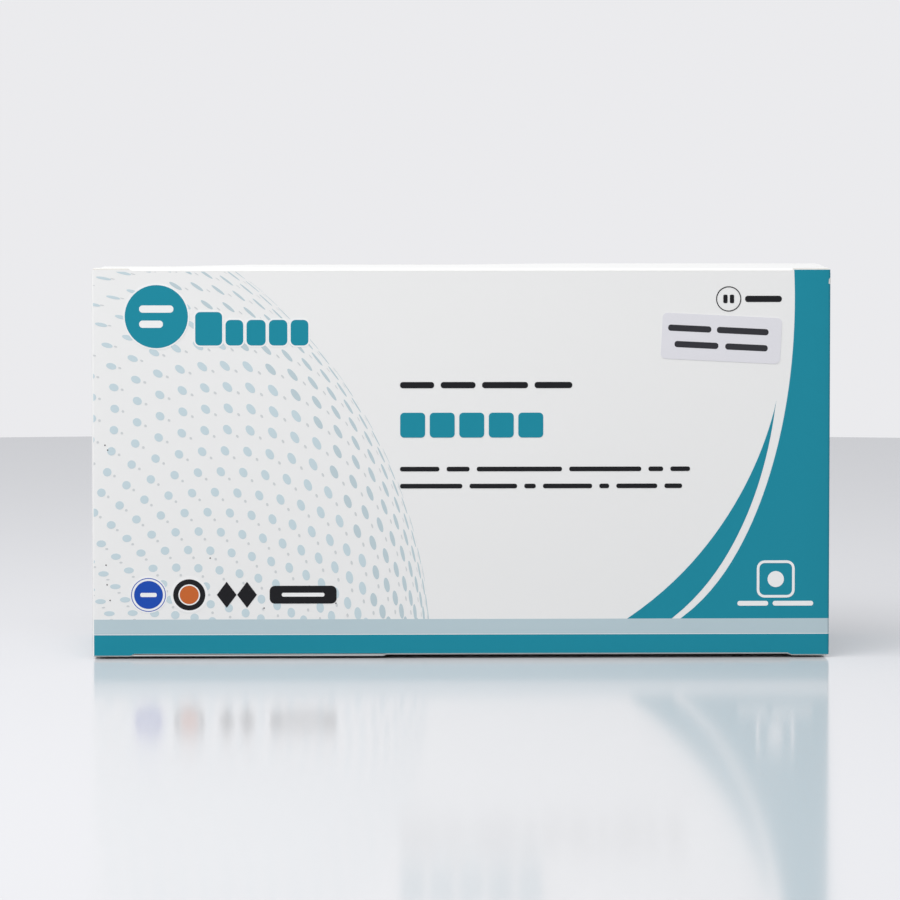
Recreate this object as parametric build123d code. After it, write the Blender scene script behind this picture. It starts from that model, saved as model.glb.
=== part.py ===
from build123d import *

import os
from math import atan, cos, degrees, sin

# Folding carton of thin white board, with a tuck closure at the top and another at the bottom.
# Both closures are hinged on the back panel and tuck in behind the front panel.
# All lengths are in millimetres. X is the width, Y the depth with the front at -Y, and Z is up.
# The origin is the middle of the base, on the surface that the closed carton stands on.

# Closed carton, outside
carton_width = 225.0
carton_depth = 75.0
carton_height = 119.0

# Board and its creases
board = 0.5
crease_radius = 0.8  # outside of every crease

# Front panel
front_setback = 0.35  # its ends stop this far inside the two closures' outer faces
lock_length = 11.5  # full height stretch at each corner, over the slit locks
recess_depth = 0.55  # its edge between the locks lies this much lower
recess_slope = 1.2  # sideways run of the recess's slanted ends

# Glued seam at the back left corner
glue_flap_width = 15.0
glue_flap_taper = 3.0  # each end slopes by this much over its width
glue_flap_inset = 1.5  # each end starts this far inside the dust flap's crease
seam_setback = 0.2  # the left panel's raw edge stops this far short of the back face

# Dust flaps, two at each end
dust_length = 50.0  # from the side panel's outer face
dust_shoulder = 12.0  # straight front stretch beside the slit lock
dust_chamfer = 9.0
dust_taper = 3.0  # the back edge slopes by this much over the flap's length
dust_corner = 6.0

# Lids: closure panel, front crease with its slit locks, and tuck flap
slit_length = 11.0
tuck_depth = 16.0  # from the closure panel's outer face
tuck_corner = 12.0

# Label stuck on the front panel, which lies a little askew
label_width = 36.5
label_height = 14.0
label_thickness = 0.1
label_corner = 1.5
label_tilt = -2.8  # degrees, clockwise seen from the front
label_side_margin = 33.3  # its middle to the carton's right side
label_top_margin = 21.3  # its middle to the carton's top

# Clearances
lid_side_gap = 0.5  # lid's side edge to the side panel's outer face
lid_front_gap = 0.2  # lid's front crease to the front panel's inner face
dust_gap = 0.1  # dust flap to closure panel
dust_front_gap = 1.4  # dust flap to the front panel's inner face
dust_back_gap = 0.6  # dust flap to the back panel's inner face
tuck_side_gap = 0.5  # tuck flap's side edge to the closure panel's side edge
tuck_swing_gap = 0.1  # tuck flap's lower edge to the front panel as the lid swings
hinge_gap = 0.05  # each half of a lid's back crease to the plane between them

# Places worked out from the sizes above
half_width = carton_width / 2
half_depth = carton_depth / 2
mid_height = carton_height / 2
front_top = carton_height - front_setback
dust_top = carton_height - board - dust_gap
side_top = dust_top - crease_radius
lid_front = -half_depth + board + lid_front_gap
lid_half_width = half_width - lid_side_gap
tuck_length = tuck_depth - crease_radius
label_center = (half_width - label_side_margin, carton_height - label_top_margin)

# The tuck flap leans in by this angle, so that it clears the front panel as the lid turns.
swing_rise = tuck_depth**2 / (2 * (carton_depth - board))
tuck_lean = atan((swing_rise + tuck_swing_gap - lid_front_gap) / tuck_length)


def band(low_x, high_x, low_y, high_y):
    """Rectangle between two corners."""
    width = high_x - low_x
    depth = high_y - low_y
    return Pos((low_x + high_x) / 2, (low_y + high_y) / 2) * Rectangle(width, depth)


def crease_section(center, start, turn):
    """Section of a crease: a sector of a ring one board thick."""
    outer = CenterArc(center, crease_radius, start, turn)
    inner = CenterArc(center, crease_radius - board, start, turn)
    return make_face([outer, Line(outer @ 0, inner @ 0), inner, Line(inner @ 1, outer @ 1)])


def at_both_ends(piece):
    """The piece at the carton's top and its mirror image at the bottom."""
    return [piece, mirror(piece, Plane.XY.offset(mid_height))]


def raised(section, low_z, high_z):
    """Plan section extruded between two heights."""
    return extrude(Pos(0, 0, low_z) * section, high_z - low_z)


def ring_plan():
    """Plan of the tube's four walls and its rounded vertical creases."""
    outer = RectangleRounded(carton_width, carton_depth, crease_radius)
    hollow_width = carton_width - 2 * board
    hollow_depth = carton_depth - 2 * board
    return outer - RectangleRounded(hollow_width, hollow_depth, crease_radius - board)


def seam_plan():
    """Plan of the back panel's crease at the seam, which lies inside the left panel."""
    center = (-half_width + board + crease_radius, half_depth - crease_radius)
    return crease_section(center, 90, 90)


def front_panel():
    """Front panel, with a shallow recess between the slit locks at its top and bottom edges."""
    plan = ring_plan() & band(-half_width, half_width, -half_depth, -half_depth + board)
    panel = raised(plan, front_setback, front_top)
    shoulder = half_width - lock_length
    foot = shoulder - recess_slope
    low = front_top - recess_depth
    outline = [(-shoulder, front_top), (shoulder, front_top), (foot, low), (-foot, low)]
    recess = extrude(Plane.XZ.offset(half_depth) * make_face(Polyline(outline, close=True)), -board)
    for cut in at_both_ends(recess):
        panel -= cut
    return panel


def back_panel():
    """Back panel with its share of the vertical creases and half of each lid's crease."""
    corner = band(-half_width, -half_width + board + crease_radius, half_depth - crease_radius, half_depth)
    plan = ring_plan() - corner + seam_plan()
    plan = plan & band(-half_width, half_width, half_depth - board, half_depth)
    top = carton_height - crease_radius
    panel = raised(plan, crease_radius, top)
    left_end = -half_width + board + crease_radius
    right_end = half_width - crease_radius
    section = crease_section((half_depth - crease_radius, top), 0, 45)
    half_crease = extrude(Plane.YZ.offset(left_end) * section, right_end - left_end)
    for piece in at_both_ends(beside_hinge_plane(half_crease, Keep.BOTTOM)):
        panel += piece
    return panel


def beside_hinge_plane(piece, keep):
    """Trims half a crease back from the slanting plane that parts the back panel from the lid."""
    side = 1 if keep == Keep.TOP else -1
    plane = Plane(origin=(0, half_depth, carton_height), x_dir=(1, 0, 0), z_dir=(0, -1, 1))
    return split(piece, plane.offset(side * hinge_gap), keep=keep)


def side_walls():
    """Both side panels up to their dust flaps' creases, and the left one's raw edge at the seam."""
    seam = band(-half_width, -half_width + board + crease_radius, 0, half_depth)
    left_edge = band(-half_width, -half_width + board, 0, half_depth - seam_setback)
    inner_depth = half_depth - board
    plan = (ring_plan() - seam) & band(-half_width, half_width, -inner_depth, inner_depth)
    return raised(plan + left_edge, carton_height - side_top, side_top)


def glue_flap():
    """Flap folded off the back panel and glued inside the left panel, with sloping ends."""
    high = side_top - glue_flap_inset
    low = carton_height - high
    root = half_depth - crease_radius
    free = half_depth - glue_flap_width
    outline = [
        (root, high),
        (free, high - glue_flap_taper),
        (free, low + glue_flap_taper),
        (root, low),
    ]
    face = Plane.YZ.offset(-half_width + board) * make_face(Polyline(outline, close=True))
    return extrude(face, board) + raised(seam_plan(), low, high)


def dust_flap():
    """Dust flap folded in from the top of the right side panel, with its crease."""
    front = -half_depth + board + dust_front_gap
    back = half_depth - board - dust_back_gap
    root = half_width - crease_radius
    free = half_width - dust_length
    outline = [
        (root, front),
        (root - dust_shoulder, front),
        (root - dust_shoulder - dust_chamfer, front + dust_chamfer),
        (free, front + dust_chamfer),
        (free, back - dust_taper),
        (root, back),
    ]
    face = make_face(Polyline(outline, close=True))
    face = fillet(face.vertices().group_by(Axis.X)[0], dust_corner)
    flap = raised(face, dust_top - board, dust_top)
    section = Plane.XZ.offset(-back) * crease_section((root, side_top), 0, 90)
    return flap + extrude(section, back - front)


def carton_body():
    """The tube of four panels, its glued seam and the four dust flaps, all of one board."""
    body = front_panel() + side_walls() + back_panel() + glue_flap()
    for flap in at_both_ends(dust_flap()):
        body += flap
        body += mirror(flap, Plane.YZ)
    return body


def closure_panel():
    """Flat part of the top lid, whose front corners run on past the slits."""
    crease_end = lid_half_width - slit_length
    crease_start = lid_front + crease_radius
    plan = band(-lid_half_width, lid_half_width, lid_front, half_depth - crease_radius)
    plan -= band(-crease_end, crease_end, lid_front, crease_start)
    return raised(plan, carton_height - board, carton_height)


def lid_back_crease():
    """The lid's half of the crease that hinges it on the back panel."""
    center = (half_depth - crease_radius, carton_height - crease_radius)
    section = crease_section(center, 45, 45)
    strip = extrude(Plane.YZ * section, lid_half_width, both=True)
    return beside_hinge_plane(strip, Keep.TOP)


def lid_front_crease():
    """Crease between the closure panel and the tuck flap, from slit to slit."""
    center = (lid_front + crease_radius, carton_height - crease_radius)
    section = crease_section(center, 90, 90 + degrees(tuck_lean))
    return extrude(Plane.YZ * section, lid_half_width - slit_length, both=True)


def tuck_flap():
    """Tuck flap with rounded lower corners, whose ends stand free under the slits."""
    normal = Vector(0, -cos(tuck_lean), -sin(tuck_lean))
    start = Vector(0, lid_front + crease_radius, carton_height - crease_radius)
    plane = Plane(origin=start + normal * crease_radius, x_dir=(1, 0, 0), z_dir=normal)
    reach = lid_half_width - tuck_side_gap
    face = band(-reach, reach, -tuck_length, 0)
    face = fillet(face.vertices().group_by(Axis.Y)[0], tuck_corner)
    return extrude(plane * face, -board)


def top_lid():
    """Closure panel, creases and tuck flap of the top closure, as one folded sheet."""
    return closure_panel() + lid_back_crease() + lid_front_crease() + tuck_flap()


def front_label():
    """Paper label on the front panel."""
    plane = Plane.XZ.offset(half_depth)
    face = Rot(0, 0, label_tilt) * RectangleRounded(label_width, label_height, label_corner)
    return extrude(plane * Pos(*label_center) * face, label_thickness)


def main():
    os.makedirs("parts", exist_ok=True)
    lids = at_both_ends(top_lid())
    nodes = {
        "carton_body": carton_body(),
        "top_lid": lids[0],
        "bottom_lid": lids[1],
        "front_label": front_label(),
    }
    for name, shape in nodes.items():
        export_step(shape, f"parts/{name}.step")


main()
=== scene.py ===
from math import ceil, copysign, cos, pi, radians, sin, sqrt

import bmesh
import bpy
from mathutils import Matrix, Vector, noise
from mathutils.bvhtree import BVHTree


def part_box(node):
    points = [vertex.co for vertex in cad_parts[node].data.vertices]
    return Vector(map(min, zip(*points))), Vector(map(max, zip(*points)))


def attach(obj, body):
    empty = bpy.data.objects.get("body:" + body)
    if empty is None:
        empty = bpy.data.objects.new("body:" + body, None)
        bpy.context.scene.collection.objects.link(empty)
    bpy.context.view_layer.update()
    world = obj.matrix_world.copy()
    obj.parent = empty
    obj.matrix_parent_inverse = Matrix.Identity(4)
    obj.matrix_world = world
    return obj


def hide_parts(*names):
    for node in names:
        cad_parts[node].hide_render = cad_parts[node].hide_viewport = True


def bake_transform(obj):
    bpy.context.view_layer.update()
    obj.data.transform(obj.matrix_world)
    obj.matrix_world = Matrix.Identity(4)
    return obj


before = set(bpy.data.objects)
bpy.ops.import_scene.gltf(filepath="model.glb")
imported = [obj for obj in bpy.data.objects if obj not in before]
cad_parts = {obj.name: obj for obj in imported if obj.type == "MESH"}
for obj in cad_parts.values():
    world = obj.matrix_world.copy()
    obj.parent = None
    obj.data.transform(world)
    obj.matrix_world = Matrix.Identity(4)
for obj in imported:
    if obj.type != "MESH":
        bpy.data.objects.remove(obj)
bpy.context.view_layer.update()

# A printed folding carton of thin white board, closed, on a pale glossy table.
# Lengths are in millimetres unless a comment says otherwise, and each mesh is scaled to metres as it is made.
# X is the width, Y the depth with the front at -Y, and Z is up.

MM = 0.001

# Sizes that the frame gives
body_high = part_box("carton_body")[1] / MM
lid_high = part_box("top_lid")[1] / MM
half_width = body_high.x
half_depth = body_high.y
carton_height = lid_high.z
mid_height = carton_height / 2

# Board, creases and edges, as the solids have them
board = 0.5
crease_radius = 0.8
front_setback = 0.35
lock_length = 11.5
recess_depth = 0.55
recess_slope = 1.2
side_setback = 1.4
seam_setback = 0.2
flat_x = half_width - crease_radius
flat_y = half_depth - crease_radius
arc = crease_radius * pi / 2
lock_x = half_width - lock_length
recess_x = lock_x - recess_slope
front_foot = front_setback
recess_foot = front_setback + recess_depth

# How far the real board is from flat and square. A pair says where a shift starts and where it is full.
front_bow = 0.35
side_bow = 0.3
bow_reach = 8.0
unevenness = 0.05
uneven_scale = 38.0
uneven_margin = 12.0
lid_crown = 0.9
crown_x = (-40.0, 40.0)
crown_z = (carton_height - 4.0, carton_height - 1.0)
corner_dip = 0.6
dip_x = (-60.0, -95.0)
dip_y = (-30.0, 20.0)
dip_z = (mid_height, carton_height)

# Front foot and its fold, in pairs as above
foot_lift = 0.6
foot_y = (half_depth, -half_depth)
foot_z = (30.0, 0.0)
fold_top = 0.45
fold_back = 6.0
fold_push = 0.95
fold_pinch = 1.4
fold_lift = 0.1
fold_rise = 0.3
kink_x = -23.3
kink_half = 0.6
fold_ends = (lock_x + 0.3, lock_x - 1.5)
fold_y = (-half_depth + fold_back, -half_depth + 1.5)
fold_inside = (-half_depth + board, -half_depth + board + 0.15)
fold_lip = (fold_top + 0.25, fold_top)
pinch_low = (fold_top, fold_top + 0.2)
pinch_high = (fold_back, fold_top + 0.8)
fold_raised = (recess_foot + 0.5, fold_top)

# Mesh fineness
cell = 6.0
film_cell = 8.0
arc_steps = 6
strip_steps = 2 * arc_steps
disc_points = 48
corner_steps = 5
speck_points = 8
table_points = 96
sharp_angle = radians(40)

# Tolerances as a mesh is cleaned, divided, cut and sorted
flat_angle = radians(0.3)
weld_gap = 0.002
outline_gap = 0.0001
step_slack = 0.001
cut_gap = 0.00001
probe_start = 0.001
probe_depth = 2.4 * board

# Thin films of ink: how much each layer adds above the board, how deep a film reaches into it, and how far
# one stays from the board's edges
layer_height = 0.015
film_sink = 0.02
ink_margin = 0.06
base_layer, fine_layer, halo_layer, ink_layer, white_layer = 2, 3, 4, 5, 6


# Shape of the board

def rise(start, end, value):
    """0 at start, 1 at end, smooth between them and level beyond."""
    t = min(max((value - start) / (end - start), 0.0), 1.0)
    return t * t * (3 - 2 * t)


def hump(value, reach):
    """1 at 0, and 0 with no slope at plus or minus reach and beyond."""
    t = min(abs(value) / reach, 1.0)
    return (1 - t * t) ** 2


def panel_bow(p):
    """Outward bow of the four panels, with a slight unevenness."""
    upright = hump(p.z - mid_height, mid_height)
    near_front = rise(half_depth - bow_reach, half_depth, abs(p.y))
    near_side = rise(half_width - bow_reach, half_width, abs(p.x))
    away = rise(0, uneven_margin, min(p.z, carton_height - p.z))
    away_x = rise(0, uneven_margin, half_width - abs(p.x))
    away_y = rise(0, uneven_margin, half_depth - abs(p.y))
    ripple = unevenness * noise.noise(p / uneven_scale) * away
    out_y = near_front * (front_bow * hump(p.x, half_width) * upright + ripple * away_x)
    out_x = near_side * (side_bow * hump(p.y, half_depth) * upright + ripple * away_y)
    return Vector((copysign(out_x, p.x), copysign(out_y, p.y), 0))


def top_shift(p):
    """The top closure crowns on its right, and its back left corner sits low."""
    crown = lid_crown * rise(*crown_x, p.x) * hump(p.y, half_depth) * rise(*crown_z, p.z)
    dip = corner_dip * rise(*dip_x, p.x) * rise(*dip_y, p.y) * rise(*dip_z, p.z)
    return Vector((0, 0, crown - dip))


def bottom_shift(p):
    """The front foot stands off the table. Its fold is squashed out on the left, and high right of a kink."""
    within = rise(*fold_ends, abs(p.x)) * rise(*fold_y, p.y) * rise(*fold_inside, p.y)
    right = rise(kink_x - kink_half, kink_x + kink_half, p.x)
    pinch = rise(*pinch_low, p.z) * rise(*pinch_high, p.z)
    out = (fold_pinch * pinch - fold_push * rise(*fold_lip, p.z)) * (1 - right) * within
    up = (fold_lift + fold_rise * right) * within * rise(*fold_raised, p.z)
    up += foot_lift * rise(*foot_z, p.z) * rise(*foot_y, p.y)
    return Vector((0, out, up))


def settle(p):
    """Where a point of the ideal carton lies on the real one."""
    return p + panel_bow(p) + top_shift(p) + bottom_shift(p)


def around(u, lift):
    """Point (x, y) on the tube's outside, raised by lift. u is x on the front and runs on round corners."""
    if abs(u) <= flat_x:
        return u, -half_depth - lift
    hand = copysign(1, u)
    along = abs(u) - flat_x
    reach = crease_radius + lift
    if along <= arc:
        turn = along / crease_radius
        return hand * (flat_x + reach * sin(turn)), -flat_y - reach * cos(turn)
    along -= arc
    if hand < 0 or along <= 2 * flat_y:
        return hand * (half_width + lift), -flat_y + along
    along -= 2 * flat_y
    if along <= arc:
        turn = along / crease_radius
        return flat_x + reach * cos(turn), flat_y + reach * sin(turn)
    return flat_x - (along - arc), half_depth + lift


# Places along u: the side panel's start and end, the back panel's start, and the two ends at the seam
side_start = flat_x + arc
side_end = side_start + 2 * flat_y
back_start = side_end + arc
left_end = -(side_start + flat_y + half_depth - seam_setback)
right_end = back_start + 2 * flat_x - board


# Materials

grain_detail, patch_detail = 3, 4
grain_height = 0.02 * MM
patch_scale = 55
gloss_spread = 0.06


def material(name, colour, rough, second=None, grain_scale=2400, grain=0.25, specular=0.3):
    """Board, paper or ink: satin with a fine grain, and a second tint in soft patches if one is given."""
    made = bpy.data.materials.new(name)
    made.use_nodes = True
    nodes, links = made.node_tree.nodes, made.node_tree.links
    shader = nodes["Principled BSDF"]
    shader.inputs["Base Color"].default_value = (*colour, 1)
    shader.inputs["Specular IOR Level"].default_value = specular
    place = nodes.new("ShaderNodeTexCoord")
    fine = nodes.new("ShaderNodeTexNoise")
    fine.inputs["Scale"].default_value = grain_scale
    fine.inputs["Detail"].default_value = grain_detail
    links.new(place.outputs["Object"], fine.inputs["Vector"])
    bump = nodes.new("ShaderNodeBump")
    bump.inputs["Strength"].default_value = grain
    bump.inputs["Distance"].default_value = grain_height
    links.new(fine.outputs["Fac"], bump.inputs["Height"])
    links.new(bump.outputs["Normal"], shader.inputs["Normal"])
    broad = nodes.new("ShaderNodeTexNoise")
    broad.inputs["Scale"].default_value = patch_scale
    broad.inputs["Detail"].default_value = patch_detail
    links.new(place.outputs["Object"], broad.inputs["Vector"])
    gloss = nodes.new("ShaderNodeMapRange")
    gloss.inputs["To Min"].default_value = rough - gloss_spread
    gloss.inputs["To Max"].default_value = rough + gloss_spread
    links.new(broad.outputs["Fac"], gloss.inputs["Value"])
    links.new(gloss.outputs["Result"], shader.inputs["Roughness"])
    if second:
        blend = nodes.new("ShaderNodeMix")
        blend.data_type = "RGBA"
        blend.inputs["A"].default_value = (*colour, 1)
        blend.inputs["B"].default_value = (*second, 1)
        links.new(broad.outputs["Fac"], blend.inputs["Factor"])
        links.new(blend.outputs["Result"], shader.inputs["Base Color"])
    return made


def ink(name, colour):
    """Printed ink under the board's thin varnish."""
    return material(name, colour, rough=0.5, specular=0.2)


coated = material("coated_board", (0.83, 0.83, 0.825), 0.45)
uncoated = material(
    "uncoated_board", (0.62, 0.60, 0.56), 0.75, (0.56, 0.54, 0.50), grain_scale=900, grain=0.6, specular=0.25
)
raw_edge = material(
    "raw_board_edge", (0.84, 0.83, 0.80), 0.8, (0.77, 0.75, 0.71), grain_scale=1500, grain=0.7, specular=0.2
)
label_paper = material("label_paper", (0.74, 0.735, 0.775), 0.55, grain_scale=1800, grain=0.35)

teal_ink = ink("teal_ink", (0.010, 0.243, 0.334))
pale_ink = ink("pale_ink", (0.475, 0.585, 0.63))
dot_ink = ink("dot_ink", (0.55, 0.66, 0.705))
rim_ink = ink("rim_ink", (0.50, 0.60, 0.64))
fine_ink = ink("fine_ink", (0.62, 0.64, 0.65))
black_ink = ink("black_ink", (0.008, 0.008, 0.010))
blue_ink = ink("blue_ink", (0.012, 0.070, 0.42))
orange_ink = ink("orange_ink", (0.55, 0.13, 0.03))
white_ink = ink("white_ink", (0.86, 0.86, 0.86))
label_ink = ink("label_ink", (0.030, 0.030, 0.036))

# Materials of a piece of board, and each one's place among them
board_faces = [coated, uncoated, raw_edge]
outside, inside, edge = range(3)


# Shells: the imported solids, cut into a fine grid and settled

def add_piece(name, bm, materials, body):
    """Makes an object of a mesh in millimetres, and lets it ride on a body."""
    bmesh.ops.scale(bm, vec=(MM, MM, MM), verts=bm.verts)
    mesh = bpy.data.meshes.new(name)
    bm.to_mesh(mesh)
    bm.free()
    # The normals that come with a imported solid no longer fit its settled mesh.
    if "custom_normal" in mesh.attributes:
        mesh.attributes.remove(mesh.attributes["custom_normal"])
    for face in mesh.polygons:
        face.use_smooth = True
    mesh.set_sharp_from_angle(angle=sharp_angle)
    for made in materials:
        mesh.materials.append(made)
    piece = bpy.data.objects.new(name, mesh)
    bpy.context.scene.collection.objects.link(piece)
    if body:
        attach(piece, body)
    return piece


def cut(bm, place, normal, clear=False):
    """Cuts all of a mesh along a plane, and takes away the side that the normal points to if clear is set."""
    parts = bm.verts[:] + bm.edges[:] + bm.faces[:]
    bmesh.ops.bisect_plane(bm, geom=parts, dist=cut_gap, plane_co=place, plane_no=normal, clear_outer=clear)


def steps(low, high, size):
    """Places between low and high that divide the stretch evenly into parts no longer than size."""
    count = max(1, ceil((high - low) / size - step_slack))
    return [low + (high - low) * i / count for i in range(1, count)]


def sort_faces(bm):
    """Gives each face its material: the board's outside or inside, or an edge if no face is close behind."""
    tree = BVHTree.FromBMesh(bm)
    middle = Vector((0, 0, mid_height))
    for face in bm.faces:
        center = face.calc_center_median()
        depth = tree.ray_cast(center - face.normal * probe_start, -face.normal)[3]
        if depth is None or depth > probe_depth:
            face.material_index = edge
        elif face.normal.dot(center - middle) < 0:
            face.material_index = inside


# Where the bottom lid is cut more finely along x, y and z, for its fold
no_cuts = ((), (), ())
fold_cuts = (
    [kink_x + shift for shift in (-kink_half, -0.2, 0.2, kink_half)]
    + [hand * (lock_x - shift) for hand in (-1, 1) for shift in (0.2, 0.8, 1.4)],
    [-half_depth + reach for reach in (1.0, 1.5, 2.5, 4.0, 5.0)],
    [fold_top + step for step in (-0.25, -0.1, 0.0, 0.1, 0.25, 0.5, 0.9, 1.6, 2.6, 4.0)],
)


def shell(node, name, body, materials, more_cuts=no_cuts):
    """The node's solid as a settled mesh that stands for it."""
    bm = bmesh.new()
    bm.from_mesh(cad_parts[node].data)
    bmesh.ops.scale(bm, vec=(1 / MM, 1 / MM, 1 / MM), verts=bm.verts)
    bmesh.ops.remove_doubles(bm, verts=bm.verts, dist=weld_gap)
    bmesh.ops.dissolve_limit(bm, angle_limit=flat_angle, verts=bm.verts, edges=bm.edges)
    low, high = (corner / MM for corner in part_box(node))
    for axis, extra in enumerate(more_cuts):
        normal = Vector((0, 0, 0))
        normal[axis] = 1
        for place in (*steps(low[axis], high[axis], cell), *extra):
            cut(bm, normal * place, normal)
    bmesh.ops.triangulate(bm, faces=bm.faces)
    bm.normal_update()
    if materials == board_faces:
        sort_faces(bm)
    for vert in bm.verts:
        vert.co = settle(vert.co)
    piece = add_piece(name, bm, materials, body)
    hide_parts(node)
    return piece


def crease_row(bm, x, bottom):
    """Points round a crease's section: along its outside, and back along its inside."""
    made = []
    for reach in (crease_radius + film_sink, crease_radius - board - film_sink):
        for i in range(strip_steps + 1):
            turn = i * pi / 2 / strip_steps
            p = Vector((x, flat_y + reach * cos(turn), carton_height - crease_radius + reach * sin(turn)))
            if bottom:
                p.z = carton_height - p.z
            made.append(bm.verts.new(p))
    return made[: strip_steps + 1] + made[: strip_steps: -1]


def crease_strip(name, bottom):
    """The bent board between the back panel and a lid."""
    bm = bmesh.new()
    start = -flat_x + board
    rows = [crease_row(bm, x, bottom) for x in (start, *steps(start, flat_x, cell), flat_x)]
    for a, b in zip(rows, rows[1:]):
        for i in range(len(a)):
            j = (i + 1) % len(a)
            face = bm.faces.new((a[i], a[j], b[j], b[i]))
            face.material_index = outside if i < strip_steps else inside
    for row in (rows[0], rows[-1]):
        for i in range(strip_steps):
            face = bm.faces.new((row[i], row[i + 1], row[-2 - i], row[-1 - i]))
            face.material_index = edge
    bmesh.ops.recalc_face_normals(bm, faces=bm.faces)
    for vert in bm.verts:
        vert.co = settle(vert.co)
    piece = add_piece(name, bm, board_faces, None)
    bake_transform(piece)
    return piece


shell("carton_body", "carton_shell", "carton", board_faces)
shell("top_lid", "top_lid_shell", "top_lid", board_faces)
shell("bottom_lid", "bottom_lid_shell", "bottom_lid", board_faces, fold_cuts)
crease_strip("top_crease", False)
crease_strip("bottom_crease", True)


# Print: outlines in (u, v), where u runs round the carton as x does on the front, and v is the height

def disc(u, v, radius, count=disc_points):
    """Round outline."""
    turns = [2 * pi * i / count for i in range(count)]
    return [(u + radius * cos(turn), v + radius * sin(turn)) for turn in turns]


def bar(u, v, width, height, corner):
    """Bar about its middle, with rounded corners."""
    points = []
    for quarter, (du, dv) in enumerate(((1, 1), (-1, 1), (-1, -1), (1, -1))):
        for i in range(corner_steps + 1):
            turn = (quarter + i / corner_steps) * pi / 2
            points.append((
                u + du * (width / 2 - corner) + corner * cos(turn),
                v + dv * (height / 2 - corner) + corner * sin(turn),
            ))
    return points


def hoop(outer, inner):
    """The band between two outlines with as many points each, as quads."""
    count = len(outer)
    return [(outer[i], outer[(i + 1) % count], inner[(i + 1) % count], inner[i]) for i in range(count)]


def ring(u, v, outer, inner):
    """Round band between two radii."""
    return hoop(disc(u, v, outer), disc(u, v, inner))


def diamond(u, v, half, tall):
    """Square on its corner, drawn out upwards."""
    return [(u, v - tall), (u + half, v), (u, v + tall), (u - half, v)]


bar_roundness = 0.45


def bars(left, v, widths, height, gap):
    """Row of plain bars with nearly round ends, from left on."""
    made = []
    for width in widths:
        made.append(bar(left + width / 2, v, width, height, bar_roundness * height))
        left += width + gap
    return made


def solid_film(bm, place, lift):
    """Turns the flat faces of a mesh into closed films on the board, and bends them onto it."""
    bm.verts.ensure_lookup_table()
    tops = bm.verts[:]
    faces = bm.faces[:]
    rims = [(e.verts[0], e.verts[1]) for e in bm.edges if e.is_boundary]
    below = {vert: bm.verts.new(vert.co) for vert in tops}
    for face in faces:
        bm.faces.new([below[vert] for vert in reversed(face.verts)])
    for a, b in rims:
        bm.faces.new((a, b, below[b], below[a]))
    bmesh.ops.recalc_face_normals(bm, faces=bm.faces)
    for top, under in below.items():
        u, v = top.co.x, top.co.y
        top.co = place(u, v, lift)
        under.co = place(u, v, -film_sink)


def on_carton(u, v, lift):
    """Place on the tube's outside."""
    x, y = around(u, lift)
    return settle(Vector((x, y, v)))


def flat_mesh(outlines):
    """Mesh of flat outlines, cut finely enough to bend round the tube."""
    bm = bmesh.new()
    for outline in outlines:
        bm.faces.new([bm.verts.new((u, v, 0)) for u, v in outline])
    bmesh.ops.remove_doubles(bm, verts=bm.verts, dist=outline_gap)
    bmesh.ops.triangulate(bm, faces=bm.faces, ngon_method="EAR_CLIP")
    low = min(vert.co.x for vert in bm.verts)
    high = max(vert.co.x for vert in bm.verts)
    cuts = [hand * (flat_x + arc * i / arc_steps) for hand in (-1, 1) for i in range(arc_steps + 1)]
    cuts += [side_end + arc * i / arc_steps for i in range(arc_steps + 1)]
    cuts += [film_cell * i for i in range(int(left_end / film_cell), int(right_end / film_cell) + 1)]
    for u in cuts:
        if low < u < high:
            cut(bm, (u, 0, 0), (1, 0, 0))
    for v in steps(0, carton_height, film_cell):
        cut(bm, (0, v, 0), (0, 1, 0))
    return bm


def film(name, outlines, ink_material, layer, clip=None):
    """A piece of one ink on the carton. What lies past clip's (left, bottom, top) is cut off."""
    bm = flat_mesh(outlines)
    if clip:
        left, bottom, top = clip
        cut(bm, (left, 0, 0), (-1, 0, 0), clear=True)
        cut(bm, (0, bottom, 0), (0, -1, 0), clear=True)
        cut(bm, (0, top, 0), (0, 1, 0), clear=True)
        loose = [vert for vert in bm.verts if not vert.link_faces]
        bmesh.ops.delete(bm, geom=loose, context="VERTS")
    solid_film(bm, on_carton, layer * layer_height)
    return add_piece(name, bm, [ink_material], "carton")


# The left and right ends of the front's print, and where the left side's starts past their bare crease
front_print = (-(flat_x + 0.3), flat_x + 0.9)
side_print = -(side_start + 0.1)

# Stripes round the foot of the carton
pale_low, pale_high = 7.0, 11.65
teal_high = 6.75


def foot_outline(left, right, foot):
    """Stretch of the lower stripe beside the front, down to the panel's edge."""
    return [(left, foot), (right, foot), (right, teal_high), (left, teal_high)]


front_stripe = [
    (front_print[0], front_foot + ink_margin),
    (-lock_x, front_foot + ink_margin),
    (-recess_x, recess_foot + ink_margin),
    (recess_x, recess_foot + ink_margin),
    (lock_x, front_foot + ink_margin),
    (front_print[1], front_foot + ink_margin),
    (front_print[1], teal_high),
    (front_print[0], teal_high),
]
stripes = [
    front_stripe,
    foot_outline(front_print[1], back_start, side_setback + ink_margin),
    foot_outline(back_start, right_end, crease_radius + ink_margin),
    foot_outline(left_end, side_print, side_setback + ink_margin),
]
pale_stripes = [
    [(left, pale_low), (right, pale_low), (right, pale_high), (left, pale_high)]
    for left, right in ((left_end, side_print), (front_print[0], right_end))
]

# Curved field at the right, a white stripe beside it, and the blade beside that.
# A curve is an upright ellipse: middle u, middle v, half width and half height.
field_curve = (48.2, 109.2, 53.4, 104.2)
stripe_curve = (37.1, 94.0, 59.7, 92.5)
blade_curve = (-14.06, 104.55, 113.23, 113.23)
blade_tip = (96.1, 78.8)
curve_step = 3.0
field_low = pale_high
field_high = carton_height - front_setback - ink_margin
side_high = carton_height - side_setback - ink_margin


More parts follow.
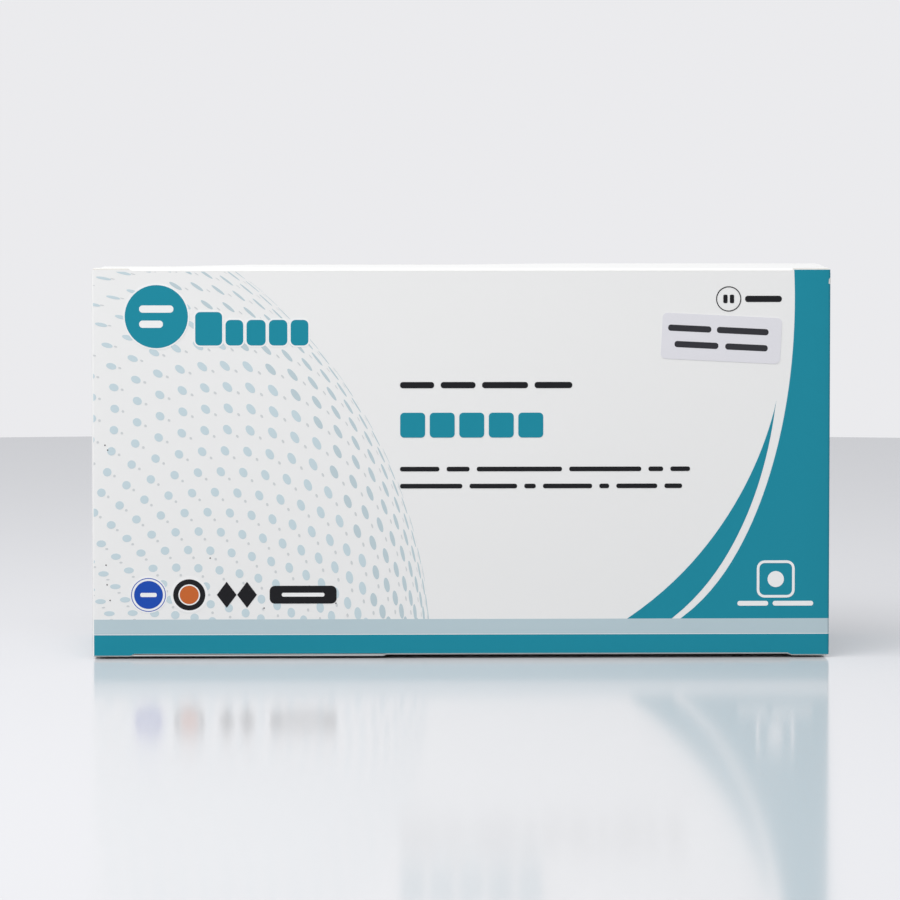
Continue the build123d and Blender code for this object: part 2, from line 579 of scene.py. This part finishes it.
def curve_points(curve, low, high):
    """Points up the right side of a curve, between two heights."""
    middle_u, middle_v, half_across, half_up = curve
    heights = [low, *steps(low, high, curve_step), high]
    return [(middle_u + half_across * sqrt(1 - ((v - middle_v) / half_up) ** 2), v) for v in heights]


field = [
    (back_start, field_low),
    (back_start, side_high),
    (front_print[1], side_high),
    (front_print[1], field_high),
    *reversed(curve_points(field_curve, field_low, field_high)),
]
blade = [
    *curve_points(blade_curve, field_low, blade_tip[1])[:-1],
    blade_tip,
    *reversed(curve_points(stripe_curve, field_low, blade_tip[1])[:-1]),
]

# Halftone dots behind the left half: bent columns of bent rows
column_radius = 82.0
column_level = 76.5
column_gap = 6.9
column_range = range(-9, 24)
row_radius = 90.0
row_apex = -71.0
row_range = range(-15, 12)
dot_gap = 6.5
widest_turn = 1.2
dot_radius, dot_points = 1.3, 18
fine_radius, fine_points = 0.42, 10
fine_spread = 1.02
fine_shift = (0.45, -0.28)

# A round rim, which the dots crowd towards. They grow longer along it and narrower across it, from
# stretch_start on, and the highest ones are narrower still.
rim_center = Vector((-157.3, 0.0))
rim_radius = 148.0
crowded = 17.0
stretch_start = 75.0
thinnest = 0.04
longer, narrower = 1.1, 0.25
highest = (80.0, 115.0)
highest_narrower = 0.4

# Both left corners, where the dots are wider and flatter
corner_x = (-85.0, -108.0)
corner_low = (50.0, 20.0)
corner_high = (72.0, 112.0)
corner_wider, corner_flatter = 0.25, 0.4

# Where the pattern is cut off, and how far past that a dot may be made
dots_left, dots_low, dots_high = front_print[0], pale_high, carton_height - recess_foot - ink_margin
dots_past = 4.0


def lattice(spread, shift):
    """Places on columns that bulge to the right, and in rows that bulge upwards."""
    places = []
    for i in column_range:
        out = (i + shift[0]) * column_gap * spread
        drop = out * out / (2 * row_radius)
        for j in row_range:
            turn = ((j + shift[1]) * dot_gap * spread - drop) / column_radius
            if abs(turn) < widest_turn:
                u = row_apex + out - column_radius * (1 - cos(turn))
                places.append(Vector((u, column_level + column_radius * sin(turn))))
    return places


def dot_outline(place, radius, left, count):
    """Outline of one dot, drawn out along the rim, with only the share left of its width."""
    across = (place - rim_center).normalized()
    t = max((place - rim_center).length - stretch_start, 0) / (rim_radius - stretch_start)
    corner = rise(*corner_x, place.x) * max(rise(*corner_low, place.y), rise(*corner_high, place.y))
    long = radius * (1 + longer * t * t)
    narrow = radius * left * (1 - narrower * t) * (1 - highest_narrower * rise(*highest, place.y))
    outline = []
    for k in range(count):
        turn = 2 * pi * k / count
        spot = across * (narrow * cos(turn)) + across.orthogonal() * (long * sin(turn))
        wide, tall = spot.x * (1 + corner_wider * corner), spot.y * (1 - corner_flatter * corner)
        outline.append((place.x + wide, place.y + tall))
    return outline


def dots(radius, count, near_rim, spread=1, shift=(0, 0)):
    """Outlines of the dots that crowd at the rim, or of all the others."""
    outlines = []
    for place in lattice(spread, shift):
        beyond = max((place - rim_center).length - (rim_radius - crowded), 0)
        left = 1 - beyond / (2 * crowded)
        if left < thinnest or (beyond > 0) != near_rim:
            continue
        if near_rim:
            across = (place - rim_center).normalized()
            place = rim_center + across * (rim_radius - crowded * left * left)
        if place.x > dots_left - dots_past and dots_low - dots_past < place.y < dots_high + dots_past:
            outlines.append(dot_outline(place, radius, left, count))
    return outlines


dots_clip = (dots_left, dots_low, dots_high)
film("print_dots", dots(dot_radius, dot_points, False), dot_ink, base_layer, dots_clip)
film("print_rim_dots", dots(dot_radius, dot_points, True), rim_ink, base_layer, dots_clip)
fine_dots = dots(fine_radius, fine_points, False, fine_spread, fine_shift)
fine_dots += dots(fine_radius, fine_points, True, fine_spread, fine_shift)
film("print_fine_dots", fine_dots, fine_ink, fine_layer, dots_clip)

# Disc with two bars at the upper left, a row of blocks beside it, and a row of squares in the middle
badge_u, badge_v, badge_radius = -92.8, 104.4, 9.6
blocks_left, blocks_foot = -81.0, 95.6
block_sizes = ((8.2, 10.2), (5.4, 7.8), (5.8, 7.8), (5.6, 7.8), (5.4, 7.8))
block_gap, block_corner = 1.0, 1.5
squares_left, squares_v = -18.7, 71.3
square_size, square_gap, square_corner = 7.6, 1.4, 1.2
badge_line = 2.3
halo = 0.45

# Rows of bars above and below the squares
bars_left = -18.76
bar_height, bar_gap = 1.4, 2.2
upper_row = bars(bars_left, 83.5, (10.4, 10.6, 14.0, 11.5), 1.9, 2.0)
middle_row = bars(bars_left, 57.9, (12.0, 7.0, 26.0, 22.0, 4.5, 6.0), bar_height, bar_gap)
lower_row = bars(bars_left, 52.7, (19.0, 14.5, 3.5, 15.0, 3.0, 12.5, 5.4), bar_height, bar_gap)

# Row of marks at the lower left, ring with two bars at the upper right, and framed disc on the teal field
mark_v = 19.4
blue_u, orange_u, plate_u = -95.4, -83.0, -48.3
diamonds_u = (-71.6, -65.4)
mark_halo = 5.7
ring_u, ring_bar_u, ring_v = 81.4, 92.0, 109.7
field_mark = (96.1, 24.0)
field_bars = bars(84.4, 16.4, (9.4, 12.4), 1.5, 1.4)


def block_row(grow):
    """The blocks beside the disc, each larger by grow all round."""
    left = blocks_left
    made = []
    for width, height in block_sizes:
        middle = (left + width / 2, blocks_foot + height / 2)
        made.append(bar(*middle, width + 2 * grow, height + 2 * grow, block_corner + grow))
        left += width + block_gap
    return made


def squares():
    """Five squares with rounded corners, in a row."""
    middles = [squares_left + (i + 0.5) * square_size + i * square_gap for i in range(5)]
    return [bar(u, squares_v, square_size, square_size, square_corner) for u in middles]


film("print_pale_stripe", pale_stripes, pale_ink, base_layer)
film("print_teal_field", [*stripes, field, blade], teal_ink, base_layer)
halos = [disc(badge_u, badge_v, badge_radius + halo), *block_row(halo)]
film("print_halos", halos, white_ink, halo_layer)
film("print_mark_halos", [disc(u, mark_v, mark_halo) for u in (blue_u, orange_u)], white_ink, halo_layer)
teal_shapes = [disc(badge_u, badge_v, badge_radius), *block_row(0), *squares()]
film("print_teal_shapes", teal_shapes, teal_ink, ink_layer)

black_shapes = [
    *ring(ring_u, ring_v, outer=3.85, inner=3.55),
    *(bar(ring_u + shift, ring_v, width=1.3, height=2.6, corner=0.4) for shift in (-1, 1)),
    bar(ring_bar_u, ring_v, width=11.2, height=1.9, corner=0.85),
    *upper_row,
    *middle_row,
    *lower_row,
    *ring(orange_u, mark_v, outer=4.9, inner=3.3),
    *(diamond(u, mark_v, half=3.0, tall=4.1) for u in diamonds_u),
    bar(plate_u, mark_v, width=20.4, height=5.6, corner=1.6),
]
film("print_black", black_shapes, black_ink, ink_layer)
blue_shapes = [disc(blue_u, mark_v, radius=4.4), *ring(blue_u, mark_v, outer=5.3, inner=5.05)]
film("print_blue", blue_shapes, blue_ink, ink_layer)
film("print_orange", [disc(orange_u, mark_v, radius=2.9)], orange_ink, ink_layer)
white_shapes = [
    bar(badge_u, badge_v + badge_line, width=10.4, height=2.2, corner=1.0),
    bar(badge_u - 1.6, badge_v - badge_line, width=7.2, height=2.2, corner=1.0),
    bar(blue_u, mark_v, width=5.0, height=1.3, corner=0.5),
    bar(plate_u, mark_v, width=13.0, height=1.2, corner=0.5),
    *hoop(bar(*field_mark, 11.6, 11.6, corner=2.4), bar(*field_mark, 10.0, 10.0, corner=1.6)),
    disc(*field_mark, radius=2.5),
    *field_bars,
]
film("print_white", white_shapes, white_ink, white_layer)

# Stray specks of ink
speck_radius = 0.22
specks = ((-108.5, 65.3), (-107.7, 63.8), (-108.3, 28.7), (-108.0, 22.6), (-107.1, 17.7), (-76.6, 30.8),
          (-60.2, 15.2), (-38.3, 16.7))
film("print_specks", [disc(u, v, speck_radius, speck_points) for u, v in specks], black_ink, halo_layer)

# Scuffed spot on the right front crease, where the board shows through the ink
scuff = [(111.9, 114.4), (112.4, 114.1), (112.9, 114.7), (112.8, 115.6), (112.5, 116.2), (112.0, 115.7)]
film("edge_scuff", [scuff], raw_edge, halo_layer)


# Label on the front, a little askew

label_low, label_high = (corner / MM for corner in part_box("front_label"))
label_u = (label_low.x + label_high.x) / 2
label_v = (label_low.z + label_high.z) / 2
label_thickness = label_high.y - label_low.y
label_tilt = radians(-2.8)
label_bar_height = 1.9
label_lines = [
    *bars(-16.4, 2.5, (13.2, 15.8), label_bar_height, 1.7),
    *bars(-14.2, -2.4, (13.4, 13.0), label_bar_height, 2.1),
]


def on_label(u, v, lift):
    """Place on the label's face, from its own tilted axes."""
    turned = Matrix.Rotation(label_tilt, 2) @ Vector((u, v))
    return on_carton(label_u + turned.x, label_v + turned.y, label_thickness + lift)


shell("front_label", "label_sheet", "carton", [label_paper])
label_mesh = flat_mesh(label_lines)
solid_film(label_mesh, on_label, base_layer * layer_height)
add_piece("label_print", label_mesh, [label_ink], "carton")


# Table, lamps and room, in metres

table_radius = 1.2
table_drop = 0.00005
table_seen = (0.72, 0.715, 0.73)
table_bounced = (0.35, 0.35, 0.36)
table_gloss = (0.95, 0.97, 1.0)
table_shine, table_rough = 0.42, 0.11
room_colour = (0.975, 0.98, 0.985)
room_strength = 0.54
wall_seen = (0.83, 0.83, 0.85)


def seen_directly(nodes, links):
    """1 where the camera sees a surface straight or in a reflection, and 0 for light that bounces off it."""
    path = nodes.new("ShaderNodeLightPath")
    either = nodes.new("ShaderNodeMath")
    either.operation = "MAXIMUM"
    links.new(path.outputs["Is Camera Ray"], either.inputs[0])
    links.new(path.outputs["Is Glossy Ray"], either.inputs[1])
    return either.outputs["Value"]


def table_material():
    """Pale glossy table top, which throws less light back onto the carton than its colour would."""
    made = bpy.data.materials.new("table_top")
    made.use_nodes = True
    nodes, links = made.node_tree.nodes, made.node_tree.links
    nodes.clear()
    out = nodes.new("ShaderNodeOutputMaterial")
    tint = nodes.new("ShaderNodeMix")
    tint.data_type = "RGBA"
    tint.inputs["A"].default_value = (*table_bounced, 1)
    tint.inputs["B"].default_value = (*table_seen, 1)
    links.new(seen_directly(nodes, links), tint.inputs["Factor"])
    matt = nodes.new("ShaderNodeBsdfDiffuse")
    links.new(tint.outputs["Result"], matt.inputs["Color"])
    gloss = nodes.new("ShaderNodeBsdfGlossy")
    gloss.inputs["Roughness"].default_value = table_rough
    gloss.inputs["Color"].default_value = (*table_gloss, 1)
    mix = nodes.new("ShaderNodeMixShader")
    mix.inputs["Fac"].default_value = table_shine
    links.new(matt.outputs["BSDF"], mix.inputs[1])
    links.new(gloss.outputs["BSDF"], mix.inputs[2])
    links.new(mix.outputs["Shader"], out.inputs["Surface"])
    return made


def round_table():
    """The table: one wide round face just under the carton."""
    bm = bmesh.new()
    bmesh.ops.create_circle(bm, cap_ends=True, segments=table_points, radius=table_radius)
    mesh = bpy.data.meshes.new("table")
    bm.to_mesh(mesh)
    bm.free()
    mesh.materials.append(table_material())
    table = bpy.data.objects.new("table", mesh)
    table.location.z = -table_drop
    bpy.context.scene.collection.objects.link(table)


def softbox(name, place, aim, size, power):
    """Rectangular lamp that faces a point, and that neither the camera nor a reflection shows."""
    lamp = bpy.data.lights.new(name, "AREA")
    lamp.shape = "RECTANGLE"
    lamp.size, lamp.size_y = size
    lamp.energy = power
    made = bpy.data.objects.new(name, lamp)
    made.location = place
    made.rotation_euler = (Vector(aim) - Vector(place)).to_track_quat("-Z", "Y").to_euler()
    made.visible_camera = False
    made.visible_glossy = False
    bpy.context.scene.collection.objects.link(made)


def pale_room():
    """Even light from all round, whose walls look paler than the light they give."""
    world = bpy.data.worlds.new("room")
    bpy.context.scene.world = world
    world.use_nodes = True
    nodes, links = world.node_tree.nodes, world.node_tree.links
    room = nodes["Background"]
    room.inputs["Color"].default_value = (*room_colour, 1)
    room.inputs["Strength"].default_value = room_strength
    seen = nodes.new("ShaderNodeBackground")
    seen.inputs["Color"].default_value = (*wall_seen, 1)
    mixed = nodes.new("ShaderNodeMixShader")
    links.new(seen_directly(nodes, links), mixed.inputs["Fac"])
    links.new(room.outputs["Background"], mixed.inputs[1])
    links.new(seen.outputs["Background"], mixed.inputs[2])
    links.new(mixed.outputs["Shader"], nodes["World Output"].inputs["Surface"])


round_table()
softbox("top_light", (-0.3, -0.36, 0.85), aim=(-0.05, -0.05, 0.06), size=(0.9, 0.6), power=5.3)
softbox("front_light", (-0.9, -1.7, 1.35), aim=(0, 0, 0.06), size=(1.8, 1.4), power=19.0)
pale_room()

# Camera, a little left of the middle and just above the lid's height
camera_place = Vector((-46.3, -1370.0, 142.0)) * MM
camera_pitch = 2.773
camera_yaw = 1.25
camera_lens, camera_sensor = 175.3, 36
camera_shift = (0.05, -0.05)
camera_far = 50

camera = bpy.data.objects.new("camera", bpy.data.cameras.new("camera"))
bpy.context.scene.collection.objects.link(camera)
bpy.context.scene.camera = camera
camera.location = camera_place
camera.rotation_euler = (radians(90 - camera_pitch), 0, radians(-camera_yaw))
camera.data.lens = camera_lens
camera.data.sensor_width = camera_sensor
camera.data.shift_x, camera.data.shift_y = camera_shift
camera.data.clip_end = camera_far

bpy.context.scene.view_settings.view_transform = "Standard"
